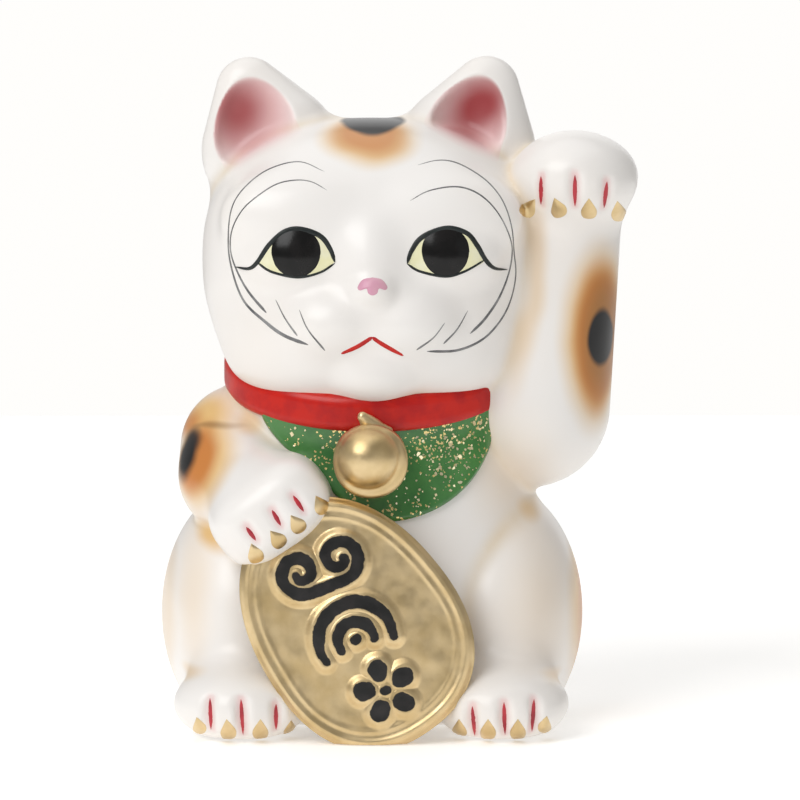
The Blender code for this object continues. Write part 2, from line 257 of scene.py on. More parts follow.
def sampled(field, low, high, pitch, block=6):
    """The field on a grid, worked out only in the blocks that its surface may cross."""
    low = np.array(low, float)
    cells = np.ceil((np.array(high) - low) / (pitch * block)).astype(int)
    middles = np.stack(np.meshgrid(*[np.arange(n) + 0.5 for n in cells], indexing="ij"), -1).reshape(-1, 3)
    coarse = in_chunks(field, low + middles * pitch * block)
    grid = np.repeat(np.sign(coarse), 1).reshape(cells)
    for k in range(3):
        grid = np.repeat(grid, block, axis=k)
    grid = np.pad(grid, ((0, 1),) * 3, mode="edge").astype(np.float32)
    near = np.flatnonzero(np.abs(coarse) < pitch * block * 1.2)
    wanted = np.zeros(grid.shape, bool)
    for i, j, k in np.stack(np.unravel_index(near, cells), axis=1) * block:
        wanted[i : i + block + 1, j : j + block + 1, k : k + block + 1] = True
    places = np.argwhere(wanted)
    grid[wanted] = in_chunks(field, low + places * pitch)
    return low, grid


def surface_net(field, low, high, pitch):
    """One vertex in each cell that the surface crosses, drawn onto it, and a quad over each crossed edge."""
    low, grid = sampled(field, low, high, pitch)
    inner = grid < 0
    corners = [(i, j, k) for i in (0, 1) for j in (0, 1) for k in (0, 1)]
    size = np.array(grid.shape) - 1
    count = sum(inner[i : i + size[0], j : j + size[1], k : k + size[2]].astype(np.int8)
                for i, j, k in corners)
    cells = np.argwhere((count > 0) & (count < 8))
    number = np.full(size, -1)
    number[tuple(cells.T)] = np.arange(len(cells))
    total, hits = np.zeros((len(cells), 3)), np.zeros(len(cells))
    for a in corners:
        for k in range(3):
            if a[k]:
                continue
            b = np.array(a)
            b[k] = 1
            va, vb = grid[tuple((cells + a).T)], grid[tuple((cells + b).T)]
            crossed = (va < 0) != (vb < 0)
            share = np.where(crossed, va / np.where(crossed, va - vb, 1), 0)
            total += np.where(crossed[:, None], np.array(a) + share[:, None] * (b - a), 0)
            hits += crossed
    points = low + (cells + total / hits[:, None]) * pitch
    quads = []
    for k in range(3):
        u, v = (k + 1) % 3, (k + 2) % 3
        ahead = np.roll(inner, -1, axis=k)
        changed = np.argwhere(inner != ahead)
        keep = (changed[:, k] < size[k]) & (changed[:, u] > 0) & (changed[:, v] > 0)
        keep &= (changed[:, u] < size[u]) & (changed[:, v] < size[v])
        changed = changed[keep]
        du, dv = np.eye(3, dtype=int)[u], np.eye(3, dtype=int)[v]
        ring = [number[tuple((changed - s).T)] for s in (du + dv, dv, 0 * du, du)]
        ring = np.stack(ring, axis=1)
        outward = inner[tuple(changed.T)]
        quads.append(np.where(outward[:, None], ring, ring[:, ::-1]))
    faces = np.concatenate(quads)
    for _ in range(2):
        slope = gradient(field, points)
        move = in_chunks(field, points)[:, None] * slope / ((slope * slope).sum(axis=1)[:, None] + 1e-9)
        reach = np.linalg.norm(move, axis=1)[:, None] + 1e-9
        points -= move * np.minimum(1, 0.6 * pitch / reach)
    return points, faces, unit(gradient(field, points))


def new_piece(name, points, faces, normals=None, attributes=None, replaces=(),
              finish=None, body="figure"):
    """A mesh object from points in millimetres about the cat's axis, riding on one of the two bodies."""
    mesh = bpy.data.meshes.new(name)
    faces = [list(dict.fromkeys(face)) for face in (faces if isinstance(faces, list) else faces.tolist())]
    mesh.from_pydata(((np.asarray(points) + AXIS) * MM).tolist(), [], faces)
    mesh.shade_smooth()
    if normals is not None:
        mesh.normals_split_custom_set_from_vertices(normals.tolist())
    for key, values in (attributes or {}).items():
        layer = mesh.attributes.new(key, "FLOAT", "POINT")
        layer.data.foreach_set("value", np.asarray(values, np.float32))
    piece = bpy.data.objects.new(name, mesh)
    bpy.context.collection.objects.link(piece)
    if finish:
        mesh.materials.append(finish)
    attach(piece, body)
    if replaces:
        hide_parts(*replaces)
    return piece


def shell(points, faces, normals, depth):
    """Closes an open sheet into a wall of that depth: its inner side, and a rim along its border."""
    used, index = np.unique(faces, return_inverse=True)
    faces = index.reshape(faces.shape)
    points, normals = points[used], normals[used]
    n = len(points)
    ends = np.stack([faces, np.roll(faces, -1, axis=1)], axis=2).reshape(-1, 2)
    key = ends[:, 0] * n + ends[:, 1]
    border = ends[~np.isin(key, ends[:, 1] * n + ends[:, 0])]
    rim = np.stack([border[:, 1], border[:, 0], border[:, 0] + n, border[:, 1] + n], axis=1)
    both = np.concatenate([points, points - normals * depth])
    return used, both, np.concatenate([faces, faces[:, ::-1] + n, rim]), np.concatenate([normals, -normals])


# ---- painter's marks
def ray(marks):
    """Unit directions from the eye through points (across, up) of the picture plane at the target."""
    marks = np.asarray(marks, float)
    offset = marks - np.array([VIEW_TARGET[0], VIEW_TARGET[2]])
    return unit(LOOK * VIEW_DISTANCE + offset[:, :1] * RIGHT + offset[:, 1:] * UP)


def pierce(marks, field=ceramic):
    """Where the sight lines through marks first meet the surface; a line that misses is bent onto it."""
    directions = ray(marks)
    reach = np.full(len(directions), VIEW_DISTANCE - MARCH_MARGIN)
    nearest, least = reach.copy(), np.full(len(directions), np.inf)
    for _ in range(50):
        away = in_chunks(field, EYE + directions * reach[:, None])
        nearest, least = np.where(away < least, reach, nearest), np.minimum(away, least)
        reach += np.clip(away * 0.85, -4, 12)
    missed = np.abs(in_chunks(field, EYE + directions * reach[:, None])) > MISS
    points = EYE + directions * np.where(missed, nearest, reach)[:, None]
    for _ in range(6 if missed.any() else 0):
        out = unit(gradient(field, points[missed]))
        points[missed] -= out * in_chunks(field, points[missed])[:, None]
    return points


def smooth_line(points, count):
    """A Catmull-Rom curve through the points, count points long, evenly spread."""
    points = np.asarray(points, float)
    if len(points) == 2:
        return points[0] + np.linspace(0, 1, count)[:, None] * (points[1] - points[0])
    ends = np.vstack([2 * points[0] - points[1], points, 2 * points[-1] - points[-2]])
    dense = []
    for a, b, c, d in zip(ends, ends[1:], ends[2:], ends[3:]):
        for t in np.linspace(0, 1, 16, endpoint=False):
            dense.append(0.5 * (2 * b + (c - a) * t + (2 * a - 5 * b + 4 * c - d) * t**2
                                + (3 * b - a - 3 * c + d) * t**3))
    dense = np.array(dense + [points[-1]])
    run = np.concatenate([[0], np.cumsum(np.linalg.norm(np.diff(dense, axis=0), axis=1))])
    at = np.linspace(0, run[-1], count)
    return np.stack([np.interp(at, run, dense[:, k]) for k in range(dense.shape[1])], axis=1)


def film(name, grid, rise, finish, closed=False, surface=ceramic, sink=0.25):
    """A thin raised skin of enamel over a grid of marks: rise is its height at each, sunk a little below."""
    rows, columns = grid.shape[:2]
    base = pierce(grid.reshape(-1, 2), surface)
    normals = unit(gradient(surface, base))
    top = base + normals * np.asarray(rise).reshape(-1, 1)
    bottom = base - normals * sink
    index = np.arange(rows * columns).reshape(rows, columns)
    if closed:
        index[0] = 0  # its first row is one point, at the middle
    right = np.roll(index, -1, axis=1) if closed else index[:, 1:]
    left = index if closed else index[:, :-1]
    faces = np.stack([left[:-1], right[:-1], right[1:], left[1:]], axis=-1).reshape(-1, 4)
    a, b, c = base[faces[:, 0]], base[faces[:, 1]], base[faces[:, 2]]
    if (np.cross(b - a, c - b) * normals[faces[:, 0]]).sum() < 0:
        faces = faces[:, ::-1]
    used, both, faces, _ = shell(top, faces, normals, 0)
    both[len(used):] = bottom[used]
    both[:, 2] = np.maximum(both[:, 2], PAINT_FLOOR)
    return new_piece(name, both, faces, finish=finish)


def stroke(name, line, widths, finish, count=40, rise=0.16, surface=ceramic):
    """A brush line: widths are its full widths at evenly spread places along it."""
    line = smooth_line(line, count)
    along = np.gradient(line, axis=0)
    across = unit(np.stack([-along[:, 1], along[:, 0]], axis=1))
    t = np.linspace(0, 1, count)
    half = np.interp(t, np.linspace(0, 1, len(widths)), widths) / 2
    half *= np.sqrt(np.clip(np.minimum(t, 1 - t) * count / 3, 0.02, 1))
    lanes = np.array([-1, -0.7, 0, 0.7, 1])
    grid = line[:, None, :] + across[:, None, :] * (half[:, None] * lanes)[:, :, None]
    height = rise * (1 - lanes**2) * np.minimum(1, half / 0.3)[:, None]
    return film(name, grid, height, finish, surface=surface)


def blob(name, outline, finish, rise=0.3, rings=6, sides=40, surface=ceramic, edge=2.5):
    """A drop of enamel inside a closed outline: thick in the middle, rounded to its rim."""
    outline = smooth_line(list(outline) + [outline[0]], sides + 1)[:-1]
    middle = outline.mean(axis=0)
    shares = np.sin(np.linspace(0, 1, rings) * math.pi / 2)
    grid = middle + shares[:, None, None] * (outline - middle)
    height = rise * (1 - shares**edge)[:, None] * np.ones(sides)
    return film(name, grid, height, finish, closed=True, surface=surface)


def oval(centre, radii, turn=0.0, count=16):
    angles = np.linspace(0, math.tau, count, endpoint=False)
    c, s = math.cos(math.radians(turn)), math.sin(math.radians(turn))
    x, y = radii[0] * np.cos(angles), radii[1] * np.sin(angles)
    return np.stack([centre[0] + x * c - y * s, centre[1] + x * s + y * c], axis=1)


# ---- materials
def material(name, colour, roughness, metallic=0.0, coat=0.0, **sockets):
    made = bpy.data.materials.new(name)
    made.use_nodes = True
    shader = made.node_tree.nodes["Principled BSDF"]
    shader.inputs["Base Color"].default_value = (*colour, 1)
    shader.inputs["Roughness"].default_value = roughness
    shader.inputs["Metallic"].default_value = metallic
    shader.inputs["Coat Weight"].default_value = coat
    shader.inputs["Coat Roughness"].default_value = 0.12
    for key, value in sockets.items():
        shader.inputs[key.replace("_", " ")].default_value = value
    return made


class Nodes:
    """Short calls to build one material's node tree."""

    def __init__(self, made):
        self.tree = made.node_tree
        self.shader = self.tree.nodes["Principled BSDF"]
        self.place = self.add("ShaderNodeTexCoord").outputs["Object"]

    def add(self, kind, **settings):
        node = self.tree.nodes.new(kind)
        for key, value in settings.items():
            setattr(node, key, value)
        return node

    def put(self, socket, value):
        if isinstance(value, bpy.types.NodeSocket):
            self.tree.links.new(value, socket)
        else:
            socket.default_value = value

    def maths(self, operation, a, b=0.0, clamp=False):
        node = self.add("ShaderNodeMath", operation=operation, use_clamp=clamp)
        self.put(node.inputs[0], a)
        self.put(node.inputs[1], b)
        return node.outputs[0]

    def noise(self, scale, detail=3.0, where=None, rough=0.5):
        node = self.add("ShaderNodeTexNoise")
        self.put(node.inputs["Vector"], where or self.place)
        node.inputs["Scale"].default_value = scale
        node.inputs["Detail"].default_value = detail
        node.inputs["Roughness"].default_value = rough
        return node

    def ramp(self, value, low, high, out_low=0.0, out_high=1.0):
        node = self.add("ShaderNodeMapRange", interpolation_type="SMOOTHSTEP")
        self.put(node.inputs["Value"], value)
        for key, number in (("From Min", low), ("From Max", high), ("To Min", out_low), ("To Max", out_high)):
            node.inputs[key].default_value = number
        return node.outputs["Result"]

    def mix(self, share, a, b):
        node = self.add("ShaderNodeMix", data_type="RGBA")
        self.put(node.inputs["Factor"], share)
        for socket, value in ((node.inputs[6], a), (node.inputs[7], b)):
            self.put(socket, (*value, 1) if isinstance(value, tuple) else value)
        return node.outputs[2]

    def attribute(self, key):
        return self.add("ShaderNodeAttribute", attribute_name=key).outputs["Fac"]

    def warped(self, scale, reach):
        """The object's coordinates, pushed about by noise so that sprayed edges wander."""
        swirl = self.noise(scale, 2).outputs["Color"]
        centred = self.add("ShaderNodeVectorMath", operation="SUBTRACT")
        self.put(centred.inputs[0], swirl)
        centred.inputs[1].default_value = (0.5, 0.5, 0.5)
        scaled = self.add("ShaderNodeVectorMath", operation="SCALE")
        self.put(scaled.inputs[0], centred.outputs[0])
        scaled.inputs["Scale"].default_value = reach * MM
        moved = self.add("ShaderNodeVectorMath", operation="ADD")
        self.put(moved.inputs[0], self.place)
        self.put(moved.inputs[1], scaled.outputs[0])
        return moved.outputs[0]

    def spot(self, where, centre, radii, soft, strength=1.0, turn=0.0, swing=0.0):
        """1 inside an ellipsoid about centre (millimetres), falling to 0 over its soft outer share."""
        mapping = self.add("ShaderNodeMapping", vector_type="TEXTURE")
        self.put(mapping.inputs["Vector"], where)
        mapping.inputs["Location"].default_value = tuple((np.array(centre) + AXIS) * MM)
        turned = Matrix.Rotation(math.radians(turn), 3, "Y") @ Matrix.Rotation(math.radians(swing), 3, "Z")
        mapping.inputs["Rotation"].default_value = turned.to_euler()
        mapping.inputs["Scale"].default_value = tuple(r * MM for r in radii)
        length = self.add("ShaderNodeVectorMath", operation="LENGTH")
        self.put(length.inputs[0], mapping.outputs[0])
        return self.ramp(length.outputs["Value"], 1 + soft, 1 - soft, 0.0, strength)

    def bump(self, height, strength, distance):
        node = self.add("ShaderNodeBump")
        node.inputs["Strength"].default_value = strength
        node.inputs["Distance"].default_value = distance
        self.put(node.inputs["Height"], height)
        self.put(self.shader.inputs["Normal"], node.outputs[0])

    def colour(self, value):
        self.put(self.shader.inputs["Base Color"], value)


WHITE = (0.90, 0.875, 0.85)
WARM = (0.88, 0.82, 0.76)
OCHRE = (0.78, 0.50, 0.19)
ORANGE = (0.58, 0.20, 0.04)
BLACK = (0.008, 0.008, 0.009)
BROWN = (0.30, 0.16, 0.05)
PINK = (0.80, 0.50, 0.50)
ROSE = (0.36, 0.05, 0.055)


def white_glaze():
    """Cream-white glaze with the airbrushed calico patches, ear pinks, and ochre pooled in the joints."""
    made = material("white_glaze", WHITE, 0.34, coat=0.12, Specular_IOR_Level=0.42)
    n = Nodes(made)
    wide, near = n.warped(24, 7), n.warped(60, 2.6)
    tint = n.mix(n.ramp(n.noise(14).outputs["Fac"], 0.35, 0.75, 0.0, 0.55), WHITE, WARM)
    crease = n.maths("MULTIPLY", n.attribute("crease"),
                     n.ramp(n.noise(30).outputs["Fac"], 0.3, 0.7, 0.25, 0.8))
    tint = n.mix(crease, tint, (0.70, 0.52, 0.27))
    for paint, sway, spots in (
        (OCHRE, wide, OCHRE_SPOTS), (ORANGE, wide, ORANGE_SPOTS), (BROWN, wide, BROWN_SPOTS),
        (BLACK, near, BLACK_SPOTS),
    ):
        for spot in spots:
            tint = n.mix(n.spot(sway, *spot), tint, paint)
    for side, (pink, rose) in EAR_PAINT.items():
        _, _, centre, radii, turn, swing = EARS[side]
        dish = n.spot(n.place, centre, [r * 1.1 for r in radii], 0.03, 1.0, turn, swing)
        for paint, spot in ((PINK, pink), (ROSE, rose)):
            tint = n.mix(n.maths("MULTIPLY", dish, n.spot(near, *spot)), tint, paint)
    tint = n.mix(n.attribute("blush"), tint, (0.75, 0.36, 0.36))
    n.colour(tint)
    n.bump(n.noise(55, 2).outputs["Fac"], 0.06, 0.0010)
    return made


def enamel(name, colour, vary, roughness=0.24, coat=0.15, specular=0.4):
    """Glossy overglaze enamel whose brush load changes its depth of colour."""
    made = material(name, colour, roughness, coat=coat, Specular_IOR_Level=specular)
    n = Nodes(made)
    n.colour(n.mix(n.ramp(n.noise(150, 4).outputs["Fac"], 0.35, 0.7), colour, vary))
    n.bump(n.noise(500, 3).outputs["Fac"], 0.12, 0.0003)
    return made


def gold_lustre(name="gold_lustre", colour=(0.77, 0.60, 0.345), deep=(0.62, 0.46, 0.23), roughness=0.38):
    """Satin champagne gold, a little uneven where it was brushed."""
    made = material(name, colour, roughness, metallic=1.0)
    n = Nodes(made)
    n.colour(n.mix(n.ramp(n.noise(90, 4).outputs["Fac"], 0.3, 0.75), colour, deep))
    n.put(n.shader.inputs["Roughness"],
          n.ramp(n.noise(220, 4).outputs["Fac"], 0.3, 0.7, roughness - 0.05, roughness + 0.08))
    n.bump(n.noise(420, 3).outputs["Fac"], 0.10, 0.0003)
    return made


def painted_gold():
    """The gold lustre with black enamel brushed over the coin's ornaments."""
    made = gold_lustre("painted_gold")
    n = Nodes(made)
    away = n.maths("ADD", n.attribute("stroke"),
                   n.ramp(n.noise(260, 3).outputs["Fac"], 0.25, 0.75, -0.35, 0.35))
    painted = n.ramp(away, 0.16, -0.16)
    streaks = n.mix(n.ramp(n.noise(190, 4).outputs["Fac"], 0.4, 0.7), (0.004, 0.004, 0.004),
                    (0.014, 0.012, 0.012))
    shader = n.shader.inputs
    n.colour(n.mix(painted, shader["Base Color"].links[0].from_socket, streaks))
    n.put(shader["Metallic"], n.maths("SUBTRACT", 1.0, painted))
    return made


def green_glitter():
    """Green enamel with fine gold flakes in it, thickest on the wearer's left."""
    made = material("green_enamel", (0.05, 0.20, 0.055), 0.22, coat=0.35)
    n = Nodes(made)
    base = n.mix(n.ramp(n.noise(70, 4).outputs["Fac"], 0.3, 0.7), (0.028, 0.15, 0.028), (0.06, 0.22, 0.045))
    cells = n.add("ShaderNodeTexVoronoi")
    n.put(cells.inputs["Vector"], n.place)
    cells.inputs["Scale"].default_value = 1500
    pick = n.add("ShaderNodeSeparateColor")
    n.put(pick.inputs[0], cells.outputs["Color"])
    clump = n.ramp(n.noise(60, 3).outputs["Fac"], 0.42, 0.68, 0.985, 0.80)
    flake = n.maths("GREATER_THAN", pick.outputs[0], clump)
    n.colour(n.mix(flake, base, (0.85, 0.66, 0.28)))
    n.put(n.shader.inputs["Metallic"], n.maths("MULTIPLY", flake, 0.9))
    n.bump(n.maths("MULTIPLY", flake, pick.outputs[1]), 0.3, 0.0003)
    return made


def soft_rubber():
    made = material("soft_rubber", (0.13, 0.115, 0.105), 0.62)
    n = Nodes(made)
    n.colour(n.mix(n.ramp(n.noise(130, 4).outputs["Fac"], 0.35, 0.7), (0.12, 0.105, 0.095),
                   (0.17, 0.15, 0.14)))
    n.bump(n.noise(900, 3).outputs["Fac"], 0.25, 0.0003)
    return made


# ---- the paws' slits, cut before the surface is made
SLITS = {
    "raised_paw": [((61.6, 197), (61.6, 186.4)), ((74, 197.5), (74, 185.7)), ((85.7, 195), (84.6, 185.3))],
    "lowered_paw": [((-28.8, 80.5), (-24.8, 74.5)), ((-36.5, 75.2), (-33.2, 69.4)),
                    ((-45.9, 69), (-42.3, 64))],
    "right_foot": [((-59.1, 6.6), (-58.7, -5)), ((-47.8, 6.3), (-47, -6.8)), ((-35, 4.5), (-35, -5))],
    "left_foot": [((36.5, 3.7), (37.5, -7.2)), ((48.1, 5.2), (48.5, -6.8)), ((59.1, 6.3), (58.3, -5.7))],
}
CLAWS = {
    "raised_paw": [(57.2, 185.3, -35), (67.8, 185.3, 20), (79.1, 184.9, 0), (90, 184, 8)],
    "lowered_paw": [(-18.6, 77, 30), (-27.4, 70.1, 35), (-34.6, 64.6, 40), (-42.7, 59.3, 20)],
    "right_foot": [(-63.1, -3.6, 15), (-52.5, -5, 8), (-40.7, -5, 0), (-29.5, -5.4, 0)],
    "left_foot": [(31.7, -5, 0), (42.3, -5, 0), (53.2, -5, 0), (63.1, -3.2, -12)],
}
slit_segments = []
for paw, pairs in SLITS.items():
    ends = pierce([mark for pair in pairs for mark in pair])
    for start, end in zip(ends[0::2], ends[1::2]):
        slit_segments.append((start, end))
        out = unit(gradient(ceramic, np.array([(start + end) / 2])))[0]
        grooves.append((start + out * 1.9, end + out * 1.5, 2.4))


def surface_point(across, up):
    return pierce([(across, up)])[0]


# Sprayed patches on the form: centre, radii in millimetres, softness, strength and turn.
shoulder = surface_point(-62, 94)
arm_patch = surface_point(83, 138)
OCHRE_SPOTS = [
    (surface_point(-0.5, 211), (16, 40, 9.5), 0.35, 0.85),
    (arm_patch, (14, 26, 29), 0.35, 0.95),
    (shoulder, (11.5, 24, 18), 0.45, 0.9, 14),
    (surface_point(-61, 110), (11, 16, 8), 0.7, 0.95),
    (surface_point(-59, 66), (7.5, 9, 3.6), 0.8, 0.9, 38),
    (surface_point(76, 46), (5, 26, 30), 0.6, 0.8),
    (surface_point(-75, 42), (3.5, 30, 30), 0.7, 0.4),
    (surface_point(57, 75), (4, 12, 3), 0.8, 0.5, 40),
    (surface_point(-66, 16.5), (6, 12, 2.4), 0.8, 0.5),
    (surface_point(67, 15), (6, 12, 2.4), 0.8, 0.6),
    (surface_point(-44, 106), (4, 6, 4), 0.7, 0.6),
    (surface_point(59.5, 168), (3, 16, 15), 0.9, 0.45),
    (surface_point(56, 140), (3.5, 14, 16), 0.9, 0.45, 14),
    (surface_point(49, 90), (13, 16, 18), 0.95, 0.3),
    (surface_point(62, 45), (12, 20, 24), 0.95, 0.25),
    (surface_point(-65, 45), (6, 24, 24), 0.95, 0.3),
    ((-30, 60, 62), (30, 26, 27), 0.35, 0.9),
    ((22, 66, 34), (15, 16, 17), 0.4, 0.9),
]
ORANGE_SPOTS = [
    (surface_point(-0.5, 211.5), (12.5, 34, 6.8), 0.4, 0.75),
    (arm_patch, (10.5, 20, 24.5), 0.28, 0.95),
    (shoulder + np.array([-1.5, 0, -1]), (6.5, 20, 13), 0.4, 0.95, 20),
    (surface_point(-66, 107), (5, 12, 4.5), 0.8, 0.8, -30),
    (surface_point(77, 46), (2.8, 20, 26), 0.6, 0.8),
    ((-31, 62, 62), (21, 22, 18), 0.35, 0.9),
    ((23, 68, 36), (12, 14, 12), 0.35, 0.9),
]
BROWN_SPOTS = [
    (arm_patch + np.array([1, 2, 0]), (9, 18, 19), 0.4, 0.6),
    (surface_point(-58, 105), (9, 9, 0.9), 0.9, 0.7),
]
BLACK_SPOTS = [
    (surface_point(0, 211.8) + np.array([0, 18, 0]), (12, 18, 14), 0.10, 1.0),
    (arm_patch + np.array([0.5, 2, 0]), (5.4, 13, 10.2), 0.16, 1.0),
    (surface_point(-67.5, 95), (3.6, 14, 9), 0.45, 1.0, 18),
    (surface_point(-65, 101), (3.2, 8, 3.6), 0.7, 0.9, -25),
    ((-33, 64, 62), (11, 18, 9), 0.2, 1.0),
    ((24, 70, 42), (9, 12, 8), 0.25, 1.0),
]
# The pink of each ear, and the rose deep in it.
EAR_PAINT = {
    1: ((surface_point(37, 218), (15, 18, 18), 0.5, 0.9),
        (surface_point(39, 222), (9, 16, 12), 0.7, 1.0, 35)),
    -1: ((surface_point(-45, 219), (18, 18, 17), 0.5, 0.9),
         (surface_point(-49, 221), (10, 16, 11), 0.8, 0.9)),
}


SURROUND = 0.31  # strength of the light from all round


def camera_and_light():
    camera = bpy.data.objects.new("camera", bpy.data.cameras.new("camera"))
    bpy.context.collection.objects.link(camera)
    camera.data.sensor_width = 36.0
    camera.data.lens = 36.0 * VIEW_DISTANCE / VIEW_WIDTH
    camera.data.clip_end = 20.0
    camera.location = (EYE + AXIS) * MM
    camera.rotation_euler = (math.radians(90 - VIEW_LIFT), 0, 0)
    bpy.context.scene.camera = camera
    target = Vector(tuple((VIEW_TARGET + AXIS) * MM))
    for name, place, size, power in (
        ("key_softbox", (-1.0, -1.2, 1.4), 1.2, 19.5),
        ("fill_softbox", (1.4, -1.2, 0.6), 1.2, 1),
        ("top_softbox", (-0.1, 0.1, 1.6), 1.6, 8),
        ("back_softbox", (0.3, 1.6, 0.7), 1.4, 5),
    ):
        light = bpy.data.objects.new(name, bpy.data.lights.new(name, "AREA"))
        bpy.context.collection.objects.link(light)
        light.data.size = size
        light.data.energy = power
        light.location = place
        light.rotation_euler = (target - light.location).to_track_quat("-Z", "Y").to_euler()
    world = bpy.data.worlds.new("studio")
    world.use_nodes = True
    # Seen directly, the surround is white paper; as light it is dimmer, so that the form is shaded.
    tree = world.node_tree
    tree.nodes["Background"].inputs["Color"].default_value = (1.0, 0.99, 0.97, 1)
    path = tree.nodes.new("ShaderNodeLightPath")
    strength = tree.nodes.new("ShaderNodeMapRange")
    strength.inputs["To Min"].default_value = SURROUND
    strength.inputs["To Max"].default_value = 1.0
    tree.links.new(path.outputs["Is Camera Ray"], strength.inputs["Value"])
    tree.links.new(strength.outputs["Result"], tree.nodes["Background"].inputs["Strength"])
    bpy.context.scene.world = world
    bpy.context.scene.view_settings.view_transform = "Standard"


def floor():
    mesh = bpy.data.meshes.new("floor")
    corners = [(-1.2, -1.2, 0), (1.2, -1.2, 0), (1.2, 1.2, 0), (-1.2, 1.2, 0)]
    mesh.from_pydata(corners, [], [(0, 1, 2, 3)])
    ground = bpy.data.objects.new("floor", mesh)
    bpy.context.collection.objects.link(ground)
    paper = material("floor_white", (0.96, 0.96, 0.955), 0.8, Emission_Color=(1, 0.99, 0.97, 1),
                     Emission_Strength=0.30)
    ground.data.materials.append(paper)


def crease_strength(points):
    """How close each point of the skin is to the joint between two of the cat's forms."""
    away = np.sort(np.stack([in_chunks(field, points) for field in CERAMIC.values()]), axis=0)[1]
    return np.exp(-((np.maximum(away, 0) / 2.6) ** 2)) * 0.9


def blush_strength(points):
    """The pink halo round each slit."""
    best = np.zeros(len(points))
    for start, end in slit_segments:
        best = np.maximum(best, np.exp(-((np.maximum(cone(points, start, end, 0.6, 0.4), 0) / 1.1) ** 2)))
    return best * 0.55


def ceramic_pieces(finish):
    reach = 4
    low = np.array(cad_low) / MM - AXIS - reach
    high = np.array(cad_high) / MM - AXIS + reach
    points, faces, normals = surface_net(ceramic, low, high, FINE)
    middles = points[faces].mean(axis=1)
    away = np.stack([in_chunks(field, middles) for field in CERAMIC.values()])
    label = away.argmin(axis=0)
    crease, blush = crease_strength(points), blush_strength(points)
    names = list(CERAMIC)
    owner = settle(faces, label, len(points))
    for number, name in enumerate(names):
        chosen = faces[owner == number]
        used, both, closed, directions = shell(points, chosen, normals, 2.0)
        nothing = np.zeros(len(used))
        layers = {"crease": np.concatenate([crease[used], nothing]),
                  "blush": np.concatenate([blush[used], nothing])}
        new_piece(name + "_glazed", both, closed, directions, layers, (name,), finish)


def settle(faces, label, count):
    """Gives each face the label that most of its neighbours have, so that the joints run clean."""
    kinds = label.max() + 1
    for _ in range(6):
        votes = np.zeros((count, kinds))
        for corner in range(4):
            np.add.at(votes, (faces[:, corner], label), 1)
        label = votes[faces].sum(axis=1).argmax(axis=1)
    return label


# ---- face paint
def eyes(black, yellow, line):
    left_upper = [(-13.5, 165.4), (-15.3, 170.4), (-19, 175.1), (-26.3, 177.6), (-32.1, 176.6),
                  (-37.4, 172), (-41.8, 165.6)]
    right_upper = [(12.8, 164.9), (14.4, 169.6), (18.4, 174.7), (27, 177.9), (34.4, 176.2), (38.2, 171.8),
                   (41.4, 166.4)]
    left_lower = [(-41.8, 165.4), (-36.5, 162), (-27, 160.1), (-19, 161.8), (-13.5, 165.2)]
    right_lower = [(12.8, 164.9), (17.5, 162.2), (26.6, 160.4), (33.6, 162.1), (41, 166.3)]
    blob("right_eye_white", left_upper + left_lower[1:-1], yellow, rise=0.25, rings=8,
         sides=72)
    blob("left_eye_white", right_upper + right_lower[::-1][1:-1], yellow, rise=0.25, rings=8,
         sides=72)
    blob("right_pupil", oval((-27.6, 169.0), (9.4, 9.0)), black, rise=1.3, rings=12, sides=64)
    blob("left_pupil", oval((26.8, 169.4), (9.1, 9.1)), black, rise=1.3, rings=12, sides=64)
    stroke("right_upper_lid", left_upper + [(-45, 163.2), (-50, 163.9)],
           [1.3, 1.9, 2.0, 2.0, 1.7, 1.8, 1.5, 0.5], line, 70, 0.5)
    stroke("left_upper_lid", right_upper + [(44.6, 163.4), (49.6, 162.8)],
           [1.3, 1.9, 2.0, 2.0, 1.8, 1.9, 1.6, 0.5], line, 70, 0.5)
    stroke("right_lower_lid", left_lower, [0.9, 1.0, 1.1, 0.9, 0.8], line, 50, 0.4)
    stroke("left_lower_lid", right_lower, [0.9, 1.0, 1.1, 0.9, 0.8], line, 50, 0.4)


